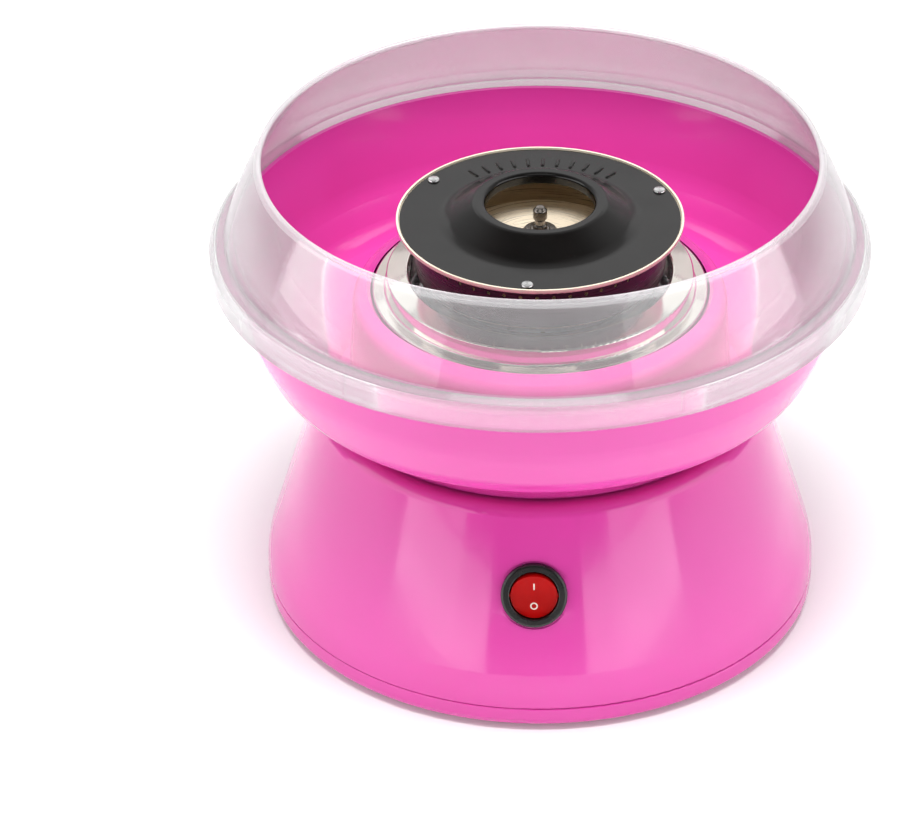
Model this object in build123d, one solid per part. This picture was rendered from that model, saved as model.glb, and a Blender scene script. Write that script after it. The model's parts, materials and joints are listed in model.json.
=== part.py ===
from build123d import *
import os
from math import atan2, cos, degrees, hypot, pi, radians, sin, tan

# Countertop cotton candy machine: a flared base with a motor and a ring heater, a spinning
# extractor head, a lift-off bowl and a clear splash ring.
# Millimetres. The origin is on the table, under the middle of the machine. +Z is up, and the
# switch looks towards -Y. Nearly every piece is turned about Z, so outlines are (radius, height).

# ---------------------------------------------------------------- driving dimensions
# Base casing
FLOOR_GAP = 2.0            # the feet lift the base this far off the table
BASE_R = 113.0             # widest radius of the base
BASE_WALL = 2.5
COVER_TOP = 10.5           # top of the bottom cover's wall, just under the parting line
PARTING_GAP = 0.2
PARTING_ROUND = 0.5        # rounded edges on both sides of the parting line
SHOULDER_Z = 18.9          # where the base's upright band meets its cone
DECK_Z = 91.0              # flat top of the base, under the bowl
DECK_R = 90.8              # where the cone meets the deck
TOWER_R = 64.5             # tower that goes up through the bowl
TOWER_TOP = 138.4
MOTOR_DECK_Z = 115.0       # upper face of the web inside the tower
WEB_THICK = 3.0
WEB_HOLE_R = 26.0
POST_CIRCLE_R = 80.0       # screw posts between the shell and the cover
POST_R = 4.0
POST_FOOT_Z = 8.0
FOOT_CIRCLE_R = 92.0
FOOT_R = 8.0
FOOT_PAD_R = 10.0          # raised pads in the cover, over the feet
VENT_SLOT = (9.0, 3.2)

# Bowl
SEAT_R = (76.2, 80.5)      # ring on the deck that the bowl stands on
SEAT_Z = 92.0
BOWL_WALL = 2.4
BOWL_HOLE_R = 68.4
COLLAR_TOP = 141.3         # top of the bowl's inner collar
BOWL_LOW_CORNER = (110.9, 112.8)
BOWL_HIGH_CORNER = (118.8, 130.3)
RIM_Z = 163.4              # top of the bowl's rim
RIM_R = (122.9, 129.6)     # the rim's flange, inner and outer

# Splash ring
SKIRT_R = 132.5            # widest radius of the whole machine
SKIRT_BOTTOM = 153.3
RING_WALL = 2.0
RING_FOOT_R = 126.6        # where the wall springs from the skirt's shoulder
RING_TOP = 198.9
MOUTH_R = 112.9            # outside of the splash ring at its top
BEAD_R = 1.25
RIB_COUNT = 6
RIB_FIRST_DEG = -3.9

# Extractor head
SHEET = 0.8                # steel sheet of the head, the tray and the shield
FLANGE_R = 57.6            # rim of the head
FLANGE_Z = 170.0           # top of the head pan's flange
PAN_R = 50.4               # outside of the pan's wall
TROUGH_Z = 148.2           # underside of the pan's trough
PAN_FLOOR_Z = 159.8        # top of the pan's raised middle
STEP_R = 35.0              # edge of the raised middle
PAN_HOLES = 48             # holes in the pan's wall, which the melted sugar leaves by
PAN_HOLE_R = 0.8
PAN_HOLE_Z = 163.5
LID_FLAT_R = 38.5          # inside of the lid's flat ring, where its cone starts
LIP_R = 22.0               # opening in the lid
LIP_Z = 178.9
LIP_DEPTH = 4.4
RIVET_CIRCLE_R = 52.9
RIVET_FIRST_DEG = 265.9
RIVET_HOLE_R = 1.05
STEM_R = 4.0               # sleeve's stem, through the pan's floor and the nut
STEM_TOP = 166.6
NUT_FLATS = 13.0
NUT_HEIGHT = 6.0
SLEEVE_R = 6.5

# Rotor
SHAFT_R = 2.0
SHAFT_Z = (57.2, 163.0)
PIN_R = 1.25
PIN_Z = 149.6
DRIVE_COLLAR_Z = (138.0, 148.0)
SET_SCREW_R = 1.5
ARMATURE_R = 14.2
ARMATURE_Z = (74.0, 106.0)
POLES = 5
POLE_PITCH_R = 8.8         # middle of the pockets that the coils run through
COMMUTATOR_R = 5.0

# Motor, fixed pieces
CAN_R = 19.0
CAN_WALL = 1.2
CAN_TOP = 118.0
CAN_BOTTOM = 61.0
BUSH_R = 5.0
END_CAP_BOTTOM = 57.0
MAGNET_R = (14.8, 17.7)
TERMINAL_X = 12.0
TERMINAL_BOTTOM = 49.0
BRUSH_Z = (63.8, 67.8)
BRUSH_HALF = 1.5           # half the width of a brush
BRACKET_R = 38.5
BRACKET_THICK = 1.6
DAMPER_R = 5.0
DAMPER_CIRCLE_R = 33.0
MOTOR_SCREW_CIRCLE_R = 12.5

# Heater
HEATER_R = 43.0
HEATER_Z = 139.5
HEATER_TUBE_R = 3.2
HEATER_BEND_R = 5.0
HEATER_PIN_R = 1.2
LEG_Y = 6.0                # the two legs stand this far each side of the X axis
LEG_BOTTOM = 125.5
TRAY_Z = 130.0
TRAY_R = 52.2
TRAY_FLANGE_Z = 135.0
TRAY_BOSS_CIRCLE_R = 58.0
SHIELD_R = (53.0, 67.6)
SHIELD_STEP_R = 61.9
SHIELD_Z = (139.6, 148.4)  # top faces of the shield's flange and of its inner edge

# Switch, in its own axes: z runs outwards from the wall
SWITCH_Z = 57.5
SWITCH_HOLE_R = 11.5
SPOT_FACE_R = 14.2
SPOT_FACE_DEPTH = 0.7
BEZEL_R = 13.2
BEZEL_TOP = 1.8
SWITCH_BODY_R = 11.3
SWITCH_BACK = -18.0
ROCKER_R = 9.45            # the rocker stays inside this sphere about its pivot
ROCKER_REST_DEG = 10.0     # tilt from level, with the O side pressed
ROCKER_HOLLOW_R = 40.0     # the thumb hollow across the rocker's face
ROCKER_MIDDLE_Z = 1.2      # bottom of that hollow, above the pivot
PIVOT_Z = -0.5
PIVOT_PIN_R = 1.0
BLADE = (4.8, 0.8)
BLADE_PLACES_Y = (-4, 4)

# Cord inlet, wiring and circuit board
GLAND_Y = 111.7
GLAND_Z = 24.0
GLAND_HOLE_R = 6.2
GLAND_FLANGE_R = 7.2
CORD_BORE_R = 3.3
WIRE_R = 1.1
BOARD_X = (50.0, 84.0)
BOARD_Y = (-12.0, 12.0)
BOARD_Z = 14.0
BOARD_THICK = 1.6
BOARD_SCREW_PLACES = [(53.5, 9.5), (80.5, -9.5)]
DIODE_X = 68.0
DIODE_Z = 18.0
BLOCK_Y = 71.0
BLOCK_TOP = 15.0
BLOCK_POLES_X = (-5, 5)
FUSE_R = 2.0
FUSE_Z = (95.0, 107.0)

# Worked out from the above
FLOOR_TOP = FLOOR_GAP + BASE_WALL
BOARD_TOP = BOARD_Z + BOARD_THICK
BRACKET_TOP = CAN_TOP + BRACKET_THICK
TRAY_FLANGE_TOP = TRAY_FLANGE_Z + SHEET
CONE_TILT = atan2(BASE_R - DECK_R, DECK_Z - SHOULDER_Z)
SWITCH_AXIS_R = BASE_R - (SWITCH_Z - SHOULDER_Z) * tan(CONE_TILT)
SWITCH_PLANE = Plane(
    origin=(0, -SWITCH_AXIS_R, SWITCH_Z), x_dir=(1, 0, 0), z_dir=(0, -cos(CONE_TILT), sin(CONE_TILT))
)


# ---------------------------------------------------------------- helpers
def save(name, shape):
    """Write one named piece, or one group of like pieces, as its own file."""
    export_step(Compound(children=list(shape.solids())), f"parts/{name}.step")


def turned(*points, rounds=None):
    """Solid of revolution about Z from a closed (radius, height) outline; rounds is {corner: radius}."""
    outline = make_face(Polyline(*points, close=True))
    for corner, radius in (rounds or {}).items():
        r, z = points[corner]
        vertex = min(outline.vertices(), key=lambda v: hypot(v.X - r, v.Y - z))
        outline = fillet(vertex, radius)
    return revolve(Plane.XZ * outline, axis=Axis.Z)


def turned_sheet(points, radii, thickness, side=Side.LEFT):
    """Sheet or moulded wall of even thickness, turned about Z, laid to one side of an open line."""
    line = FilletPolyline(*points, radius=list(radii))
    band = make_face(offset(line, amount=thickness, side=side, closed=True))
    return revolve(Plane.XZ * band, axis=Axis.Z)


def rod(radius, low, high, x=0.0, y=0.0):
    """Upright cylinder between two heights."""
    return Pos(x, y, low) * Cylinder(radius, high - low, align=(Align.CENTER, Align.CENTER, Align.MIN))


def rods(radius, low, high, places):
    """The same upright cylinder at several places."""
    return [rod(radius, low, high, x, y) for x, y in places]


def cross_rod(radius, length, x=0.0, z=0.0):
    """Cylinder along X, centred at x."""
    return Pos(x, 0, z) * Rot(0, 90, 0) * Cylinder(radius, length)


def block(x, y, z):
    """Box between pairs of x, y and z limits."""
    size = (x[1] - x[0], y[1] - y[0], z[1] - z[0])
    return Pos((x[0] + x[1]) / 2, (y[0] + y[1]) / 2, (z[0] + z[1]) / 2) * Box(*size)


def around(radius, count, first_deg=0.0):
    """(x, y) places evenly spaced on a circle."""
    angles = [radians(first_deg + 360.0 * i / count) for i in range(count)]
    return [(radius * cos(a), radius * sin(a)) for a in angles]


def copies(shape, places):
    """The same solid at several (x, y) places, as one group."""
    return Compound(children=[Pos(x, y, 0) * shape for x, y in places])


def turns(shape, angles):
    """The same solid turned about Z by several angles, as one group."""
    return Compound(children=[Rot(0, 0, angle) * shape for angle in angles])


def screw(under_head, head_r, head_h, shank_r, length, down=True):
    """Pan-head screw with a cross recess; its shank runs down, or up when it is driven from below."""
    way = -1 if down else 1
    head = rod(head_r, min(0, -way * head_h), max(0, -way * head_h))
    rim = head.edges().filter_by(GeomType.CIRCLE).sort_by(Axis.Z)[-1 if down else 0]
    head = fillet(rim, 0.45 * head_h)
    shank = rod(shank_r, min(0, way * length), max(0, way * length))
    recess_depth = 0.5
    arm = block((-0.6 * head_r, 0.6 * head_r), (-0.14 * head_r, 0.14 * head_r), (-recess_depth, recess_depth))
    cross = Pos(0, 0, -way * head_h) * (arm + Rot(0, 0, 90) * arm)
    return Pos(0, 0, under_head) * (head + shank - cross)


def wire(*points):
    """Round wire along straight runs joined by the largest even arcs that the runs allow."""
    corners = [Vector(*p) for p in points]
    radii = []
    for before, here, after in zip(corners, corners[1:], corners[2:]):
        a, b = here - before, after - here
        half_turn = radians(a.get_angle(b)) / 2
        radii.append(0.45 * min(a.length, b.length) / tan(half_turn))
    path = FilletPolyline(*points, radius=radii) if radii else Line(*points)
    return sweep(Plane(path @ 0, z_dir=path % 0) * Circle(WIRE_R), path=path)


# ---------------------------------------------------------------- base casing
POST_PLACES = around(POST_CIRCLE_R, 4, 45)
FOOT_PLACES = around(FOOT_CIRCLE_R, 4)
TRAY_SCREW_PLACES = around(TRAY_BOSS_CIRCLE_R, 3, 90)
DAMPER_PLACES = around(DAMPER_CIRCLE_R, 3, 30)
LEG_PLACES = [(HEATER_R, -LEG_Y), (HEATER_R, LEG_Y)]


def base_shell():
    """Flared casing with a tower; inside are a web for the motor, bosses and screw posts."""
    wall = turned_sheet(
        [
            (BASE_R, COVER_TOP + PARTING_GAP), (BASE_R, SHOULDER_Z), (DECK_R, DECK_Z), (TOWER_R, DECK_Z),
            (TOWER_R, TOWER_TOP),
        ],
        [45.0, 5.0, 4.0], BASE_WALL, Side.LEFT,
    )
    lower_rim = wall.edges().filter_by(GeomType.CIRCLE).group_by(Axis.Z)[0].sort_by(SortBy.RADIUS)[-1]
    wall = fillet(lower_rim, PARTING_ROUND)
    into_deck = DECK_Z - 0.5
    seat = turned((SEAT_R[0], into_deck), (SEAT_R[1], into_deck), (SEAT_R[1], SEAT_Z), (SEAT_R[0], SEAT_Z))
    web_bottom = MOTOR_DECK_Z - WEB_THICK
    web_r = TOWER_R - BASE_WALL + 1
    web = rod(web_r, web_bottom, MOTOR_DECK_Z) - rod(WEB_HOLE_R, web_bottom - 1, MOTOR_DECK_Z + 1)
    shell = wall + seat + web
    shell += rods(POST_R, POST_FOOT_Z, DECK_Z - 1.5, POST_PLACES)
    shell -= rods(1.3, 0, 22.0, POST_PLACES)
    shell += rods(4.2, MOTOR_DECK_Z - 1, TRAY_FLANGE_Z, TRAY_SCREW_PLACES)
    shell -= rods(1.2, TRAY_FLANGE_Z - 12, TRAY_FLANGE_Z + 1, TRAY_SCREW_PLACES)
    shell += rods(4.0, MOTOR_DECK_Z - 13, MOTOR_DECK_Z - 1, DAMPER_PLACES)
    shell -= rods(1.4, MOTOR_DECK_Z - 14, MOTOR_DECK_Z + 1, DAMPER_PLACES)
    shell -= rods(3.4, MOTOR_DECK_Z - 4, MOTOR_DECK_Z + 1, LEG_PLACES)
    spot_face = SWITCH_PLANE * Pos(0, 0, 5 - SPOT_FACE_DEPTH) * Cylinder(SPOT_FACE_R, 10)
    switch_hole = SWITCH_PLANE * Cylinder(SWITCH_HOLE_R, 20)
    gland_hole = Pos(0, BASE_R, GLAND_Z) * Rot(90, 0, 0) * Cylinder(GLAND_HOLE_R, 20)
    return shell - spot_face - switch_hole - gland_hole


def bottom_cover():
    """Shallow pan that closes the base, with a lip inside the shell, foot pads and vent slots."""
    lip_top = COVER_TOP + 3.5
    wall_in = BASE_R - 4.8
    lip_r = BASE_R - 2.8
    pan = turned(
        (0, FLOOR_GAP), (BASE_R, FLOOR_GAP), (BASE_R, COVER_TOP), (lip_r, COVER_TOP), (lip_r, lip_top),
        (wall_in, lip_top), (wall_in, FLOOR_TOP), (0, FLOOR_TOP), rounds={1: 3.5, 2: PARTING_ROUND, 6: 1.5},
    )
    in_floor = FLOOR_GAP + 1
    pan += rods(5.5, in_floor, POST_FOOT_Z, POST_PLACES)
    pan -= rods(4.0, 0, 4.2, POST_PLACES)
    pan -= rods(1.9, 0, POST_FOOT_Z + 1, POST_PLACES)
    pan += rods(FOOT_PAD_R, in_floor, FLOOR_TOP + 1.2, FOOT_PLACES)
    pan -= rods(FOOT_R + 0.2, 0, FLOOR_GAP + 1.5, FOOT_PLACES)
    pan += rods(3.2, in_floor, BOARD_Z, BOARD_SCREW_PLACES)
    pan -= rods(1.1, 5.5, BOARD_Z + 1, BOARD_SCREW_PLACES)
    for ring_r, count in ((26.0, 10), (40.0, 16)):
        slot = Pos(ring_r, 0, in_floor) * extrude(SlotOverall(*VENT_SLOT), 6, both=True)
        pan -= [Rot(0, 0, 360.0 * i / count) * slot for i in range(count)]
    return pan


def rubber_feet():
    foot = fillet(rod(FOOT_R, 0, FLOOR_GAP + 1.5).edges().sort_by(Axis.Z)[0], 0.8)
    return copies(foot - rod(3.0, -1, 0.6), FOOT_PLACES)


def cover_screws():
    return copies(screw(4.2, 3.4, 1.8, 1.3, 16.0, down=False), POST_PLACES)


def inlet_gland():
    """Rubber bush for the mains cord, at the back, with a flange inside and outside the wall."""
    bush = turned(
        (CORD_BORE_R, -8.5), (GLAND_FLANGE_R, -8.5), (GLAND_FLANGE_R, -5.7), (GLAND_HOLE_R - 0.2, -5.7),
        (GLAND_HOLE_R - 0.2, 1.3), (GLAND_FLANGE_R, 1.3), (GLAND_FLANGE_R - 0.6, 4.0), (CORD_BORE_R, 4.0),
        rounds={5: 0.6, 6: 1.0},
    )
    return Pos(0, GLAND_Y, GLAND_Z) * Rot(-90, 0, 0) * bush


# ---------------------------------------------------------------- bowl and splash ring
def candy_bowl():
    """Bowl with a raised middle: a collar round the head, a trough, and a wall up to a flanged rim."""
    under_side = [
        (BOWL_HOLE_R, COLLAR_TOP - BOWL_WALL),
        (73.2, 134.6),
        (SEAT_R[0] - 0.6, SEAT_Z),
        (84.5, SEAT_Z),
        BOWL_LOW_CORNER,
        BOWL_HIGH_CORNER,
        (RIM_R[0] + BOWL_WALL + 0.1, RIM_Z),
    ]
    wall = turned_sheet(under_side, [4.0, 1.0, 1.0, 22.0, 40.0], BOWL_WALL, Side.LEFT)
    rim_bottom = RIM_Z - BOWL_WALL
    rim = turned(
        (RIM_R[0], rim_bottom), (RIM_R[1], rim_bottom), (RIM_R[1], RIM_Z), (RIM_R[0], RIM_Z),
        rounds={2: 0.8, 3: 0.8},
    )
    above_rim = rod(SKIRT_R, RIM_Z, RIM_Z + 5)
    return wall + rim - above_rim


def splash_ring():
    """Clear ring: a ribbed skirt hangs outside the bowl's rim, and the wall leans in to a beaded mouth."""
    skirt_in = SKIRT_R - RING_WALL
    foot_z = RIM_Z + 0.1
    shoulder_z = RIM_Z - 0.8
    wall_top = RING_TOP - 0.5
    mouth_in = MOUTH_R - RING_WALL
    wall_in = ThreePointArc((RING_FOOT_R - RING_WALL, foot_z), (119.4, 180.4), (mouth_in, wall_top))
    wall_out = ThreePointArc((RING_FOOT_R, foot_z + 2.2), (121.3, 180.9), (MOUTH_R, wall_top))
    skirt = Polyline(
        wall_out @ 0, (SKIRT_R - 1.2, shoulder_z), (SKIRT_R, shoulder_z - 1.6), (SKIRT_R, SKIRT_BOTTOM),
        (skirt_in, SKIRT_BOTTOM), (skirt_in, foot_z), wall_in @ 0,
    )
    outline = Curve() + [wall_in, Line(wall_in @ 1, wall_out @ 1), wall_out, skirt]
    ring = revolve(Plane.XZ * make_face(outline), axis=Axis.Z)
    bead = Pos(0, 0, RING_TOP - 0.6) * Torus(MOUTH_R - RING_WALL / 2, BEAD_R)
    rib = block((RIM_R[1] + 0.3, skirt_in + 0.5), (-0.6, 0.6), (SKIRT_BOTTOM + 0.8, RIM_Z - 0.5))
    ribs = [Rot(0, 0, RIB_FIRST_DEG + 360.0 * i / RIB_COUNT) * rib for i in range(RIB_COUNT)]
    return ring + bead + ribs


# ---------------------------------------------------------------- extractor head
RIVET_PLACES = around(RIVET_CIRCLE_R, 3, RIVET_FIRST_DEG)
SLEEVE_BORE_R = SHAFT_R + 0.08


def head_pan():
    """Steel pan with a raised middle, a trough over the heater, a pierced wall and a rolled flange."""
    face_line = [
        (STEM_R + 0.1, PAN_FLOOR_Z), (STEP_R, PAN_FLOOR_Z), (STEP_R, TROUGH_Z + SHEET),
        (PAN_R - SHEET, TROUGH_Z + SHEET), (PAN_R - SHEET, FLANGE_Z), (FLANGE_R - SHEET, FLANGE_Z),
        (FLANGE_R - SHEET, FLANGE_Z + 1.4),
    ]
    pan = turned_sheet(face_line, [1.2, 2.4, 2.4, 1.0, 0.4], SHEET, Side.RIGHT)
    hole = cross_rod(PAN_HOLE_R, 4, PAN_R - SHEET / 2, PAN_HOLE_Z)
    pan -= [Rot(0, 0, 360.0 * i / PAN_HOLES) * hole for i in range(PAN_HOLES)]
    return pan - rods(RIVET_HOLE_R, FLANGE_Z - 2, FLANGE_Z + 1, RIVET_PLACES)


def head_lid():
    """Black lid: a flat ring, then a cone that rises to a rolled lip round the sugar opening."""
    flat_z = FLANGE_Z + SHEET
    top_line = [
        (FLANGE_R - 1.3, flat_z), (LID_FLAT_R, flat_z), (LIP_R + 4.6, LIP_Z), (LIP_R, LIP_Z),
        (LIP_R, LIP_Z - LIP_DEPTH),
    ]
    lid = turned_sheet(top_line, [9.0, 2.6, 1.6], SHEET, Side.LEFT)
    return lid - rods(RIVET_HOLE_R, FLANGE_Z - 1, FLANGE_Z + 2, RIVET_PLACES)


def head_rivets():
    low = FLANGE_Z - SHEET
    high = FLANGE_Z + SHEET
    rivet = turned(
        (0, low - 0.7), (1.7, low - 0.7), (1.7, low), (1.0, low), (1.0, high), (2.6, high), (2.2, high + 0.9),
        (0, high + 1.2), rounds={5: 0.3, 6: 0.5},
    )
    return copies(rivet, RIVET_PLACES)


def head_hub():
    """Sleeve under the pan: the shaft goes up its bore, and its slot drops over the drive pin."""
    foot = DRIVE_COLLAR_Z[1]
    shoulder = PAN_FLOOR_Z - SHEET
    shoulder_r = 9.0
    bore_top = STEM_TOP - 3.0
    hub = turned(
        (SLEEVE_BORE_R, foot), (SLEEVE_R, foot), (SLEEVE_R, 156.0), (shoulder_r, 157.3),
        (shoulder_r, shoulder), (STEM_R, shoulder), (STEM_R, STEM_TOP), (0, STEM_TOP), (0, bore_top),
        (SLEEVE_BORE_R, bore_top),
        rounds={2: 1.0, 6: 0.6},
    )
    slot_top = PIN_Z + PIN_R + 0.35
    return hub - block((-8, 8), (-PIN_R - 0.3, PIN_R + 0.3), (foot - 1, slot_top))


def hub_nut():
    top = PAN_FLOOR_Z + NUT_HEIGHT
    nut = Pos(0, 0, PAN_FLOOR_Z) * extrude(RegularPolygon(NUT_FLATS / 2, 6, major_radius=False), NUT_HEIGHT)
    chamfer_cone = turned((0, PAN_FLOOR_Z), (7.6, PAN_FLOOR_Z), (7.6, top - 0.9), (6.4, top), (0, top))
    return (nut & chamfer_cone) - rod(STEM_R, PAN_FLOOR_Z - 1, top + 1)


def lift_knob():
    """Round-headed pin on the sleeve, by which the cold head is pulled off."""
    foot_r, neck_r, head_r = 2.9, 2.1, 2.85
    return turned(
        (0, STEM_TOP), (foot_r, STEM_TOP), (foot_r, STEM_TOP + 1.2), (neck_r, STEM_TOP + 1.8),
        (neck_r, STEM_TOP + 3.6), (head_r, STEM_TOP + 4.4), (head_r, STEM_TOP + 8.0), (1.6, STEM_TOP + 9.4),
        (0, STEM_TOP + 9.6), rounds={2: 0.4, 5: 0.3, 6: 1.0, 7: 0.6},
    )


# ---------------------------------------------------------------- rotor
def motor_shaft():
    return chamfer(rod(SHAFT_R, *SHAFT_Z).edges(), 0.3) - cross_rod(PIN_R, 10, z=PIN_Z)


def drive_pin():
    return chamfer(cross_rod(PIN_R, 12, z=PIN_Z).edges().filter_by(GeomType.CIRCLE), 0.2)


def drive_collar():
    """Brass collar on the shaft that carries the head; its set screw hole breaks into the bore."""
    low, high = DRIVE_COLLAR_Z
    collar = turned((SHAFT_R, low), (SLEEVE_R, low), (SLEEVE_R, high), (SHAFT_R, high), rounds={1: 0.5})
    return collar - cross_rod(SET_SCREW_R, 6.4, 4.5, (low + high) / 2)


def collar_set_screw():
    middle = sum(DRIVE_COLLAR_Z) / 2
    socket = Pos(6.0, 0, middle) * Rot(0, 90, 0) * extrude(RegularPolygon(0.8, 6), 1.5, both=True)
    return cross_rod(SET_SCREW_R, 4.0, 4.0, middle) - socket


def pole_turns(offset_deg=0.0):
    return [offset_deg + 360.0 * i / POLES for i in range(POLES)]


def armature_core():
    core = rod(ARMATURE_R, *ARMATURE_Z) - rod(SHAFT_R, 0, 200)
    mouth = block((11, 16), (-1.2, 1.2), ARMATURE_Z)
    pocket = rod(3.4, *ARMATURE_Z, x=POLE_PITCH_R)
    return core - [Rot(0, 0, angle) * (mouth + pocket) for angle in pole_turns()]


def armature_windings():
    """Five coils through the core's pockets, joined by a bundle at each end."""
    low, high = ARMATURE_Z
    windings = Part()
    for z, end_z in ((high, high + 4.5), (low, low - 4.0)):
        windings += turned((5.2, z), (12.4, z), (11.4, end_z), (6.0, end_z), rounds={2: 1.5, 3: 1.5})
    coil_side = rod(3.1, low - 0.5, high + 0.5, POLE_PITCH_R)
    for angle in pole_turns():
        windings += Rot(0, 0, angle) * coil_side
    return windings


def commutator():
    body = turned(
        (SHAFT_R, 63), (COMMUTATOR_R, 63), (COMMUTATOR_R, 68.6), (COMMUTATOR_R + 0.6, 68.6),
        (COMMUTATOR_R + 0.6, 69.6), (SHAFT_R, 69.6),
    )
    gap = block((COMMUTATOR_R - 0.6, COMMUTATOR_R + 1), (-0.25, 0.25), (62, 70))
    return body - [Rot(0, 0, angle) * gap for angle in pole_turns(36)]


# ---------------------------------------------------------------- motor, fixed pieces
MOTOR_SCREW_PLACES = around(MOTOR_SCREW_CIRCLE_R, 2)


def motor_can():
    inner_r = CAN_R - CAN_WALL
    lid_under = CAN_TOP - CAN_WALL
    neck = (BUSH_R, BUSH_R + 1.5)
    neck_top = CAN_TOP + 3
    can = turned(
        (inner_r, CAN_BOTTOM), (CAN_R, CAN_BOTTOM), (CAN_R, CAN_TOP), (neck[1], CAN_TOP), (neck[1], neck_top),
        (neck[0], neck_top), (neck[0], lid_under), (inner_r, lid_under), rounds={2: 1.5},
    )
    return can - rods(1.25, CAN_TOP - 3, CAN_TOP + 1, MOTOR_SCREW_PLACES)


def motor_end_cap():
    low = END_CAP_BOTTOM
    cap = turned(
        (0, low - 2), (8, low - 2), (8, low), (CAN_R, low), (CAN_R, CAN_BOTTOM), (BUSH_R, CAN_BOTTOM),
        (BUSH_R, low - 0.4), (0, low - 0.4),
    )
    cap -= [block((x - 0.5, x + 0.5), (-2.5, 2.5), (50, 65)) for x in (-TERMINAL_X, TERMINAL_X)]
    arm_slot = block((11.6, 13.0), (3.5, 6.5), (low - 1, 65))
    return cap - [Rot(0, 0, turn) * arm_slot for turn in (0, 180)]


def motor_bushes():
    bore_r = SHAFT_R + 0.03
    upper = rod(BUSH_R, CAN_TOP - 2, CAN_TOP + 3) - rod(bore_r, 100, 130)
    lower = rod(BUSH_R, END_CAP_BOTTOM + 0.4, CAN_BOTTOM + 0.4) - rod(bore_r, 50, 70)
    return Compound(children=[upper, lower])


def motor_magnets():
    low, high = 71, 109
    ring = rod(MAGNET_R[1], low, high) - rod(MAGNET_R[0], low - 1, high + 1)
    return turns(ring & block((6.5, 20), (-20, 20), (low - 1, high + 1)), (0, 180))


def motor_brushes():
    face_r = COMMUTATOR_R + 0.3
    brush = block((face_r, 10.0), (-BRUSH_HALF, BRUSH_HALF), BRUSH_Z) - rod(face_r, 60, 70)
    return turns(brush, (0, 180))


def brush_arms():
    """Leaf springs that stand on the end cap and press the brushes inwards."""
    thick = 0.5
    blade_x = 10.1
    post_x = 12.4
    far_y = 6.3
    arm = block((blade_x, blade_x + thick), (-BRUSH_HALF, far_y), BRUSH_Z)
    arm += block((blade_x, post_x + thick), (far_y - thick, far_y), BRUSH_Z)
    arm += block((post_x, post_x + thick), (3.7, far_y), (END_CAP_BOTTOM + 0.5, BRUSH_Z[1]))
    return turns(arm, (0, 180))


def motor_terminals():
    blade = block((-0.4, 0.4), (-2.4, 2.4), (TERMINAL_BOTTOM, 62.5))
    return copies(blade, [(-TERMINAL_X, 0), (TERMINAL_X, 0)])


def motor_bracket():
    """Round plate that hangs the motor from the web by three dampers."""
    low, high = CAN_TOP - 1, CAN_TOP + 3
    plate = rod(BRACKET_R, CAN_TOP, BRACKET_TOP) - rod(8.0, low, high)
    plate -= rods(9.0, low, high, around(36.0, 3, 90))
    plate -= rods(1.6, low, high, MOTOR_SCREW_PLACES)
    return plate - rods(1.6, low, high, DAMPER_PLACES)


def motor_dampers():
    damper = rod(DAMPER_R, MOTOR_DECK_Z, CAN_TOP) - rod(1.8, MOTOR_DECK_Z - 1, CAN_TOP + 1)
    return copies(damper, DAMPER_PLACES)


def bracket_screws():
    return copies(screw(BRACKET_TOP, 3.0, 2.0, 1.4, 15.0), DAMPER_PLACES)


def motor_screws():
    return copies(screw(BRACKET_TOP, 2.6, 1.8, 1.25, 4.0), MOTOR_SCREW_PLACES)


# ---------------------------------------------------------------- heater
def heater_tray():
    """Steel dish under the ring element, hung by its flange from the tower's bosses."""
    floor_z = TRAY_Z + SHEET
    line = [(8.0, floor_z), (TRAY_R, floor_z), (TRAY_R, TRAY_FLANGE_TOP), (61.4, TRAY_FLANGE_TOP)]
    tray = turned_sheet(line, [2.0, 1.0], SHEET, Side.RIGHT)
    tray -= rods(1.5, TRAY_FLANGE_Z - 5, TRAY_FLANGE_Z + 5, TRAY_SCREW_PLACES)
    return tray - rods(HEATER_TUBE_R + 0.3, TRAY_Z - 5, TRAY_Z + 3, LEG_PLACES)


def heater_element():
    """Tubular ring element with a gap, where its two cold legs turn down through the tray."""
    gap = degrees(atan2(LEG_Y, HEATER_R))
    bend_deg = degrees(HEATER_BEND_R / HEATER_R)
    ring_arc = CenterArc((0, 0, HEATER_Z), HEATER_R, gap + bend_deg, 360 - 2 * (gap + bend_deg))
    section = Plane(ring_arc @ 0, z_dir=ring_arc % 0) * Circle(HEATER_TUBE_R)
    element = sweep(section, path=ring_arc)
    for end, heading in ((ring_arc @ 0, ring_arc % 0 * -1), (ring_arc @ 1, ring_arc % 1)):
        down = Vector(0, 0, -1)
        part_way = heading * sin(pi / 4) + down * (1 - cos(pi / 4))
        turn_mid = end + part_way * HEATER_BEND_R
        turn_end = end + (heading + down) * HEATER_BEND_R
        bend = ThreePointArc(end, turn_mid, turn_end)
        element += sweep(Plane(end, z_dir=heading) * Circle(HEATER_TUBE_R), path=bend)
        element += rod(HEATER_TUBE_R, LEG_BOTTOM, turn_end.Z, turn_end.X, turn_end.Y)
        element += rod(HEATER_PIN_R, LEG_BOTTOM - 4.5, LEG_BOTTOM, turn_end.X, turn_end.Y)
    return element


def heater_saddles():
    """Three steel posts with a groove that the ring lies in."""
    ring = Pos(0, 0, HEATER_Z) * Torus(HEATER_R, HEATER_TUBE_R + 0.02)
    post = block((HEATER_R - 5, HEATER_R + 5), (-2, 2), (TRAY_Z + SHEET, HEATER_Z - 0.6))
    return turns(post - ring, (90, 180, 270))


def tray_screws():
    return copies(screw(TRAY_FLANGE_TOP, 2.7, 1.8, 1.2, 12.0), TRAY_SCREW_PLACES)


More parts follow.
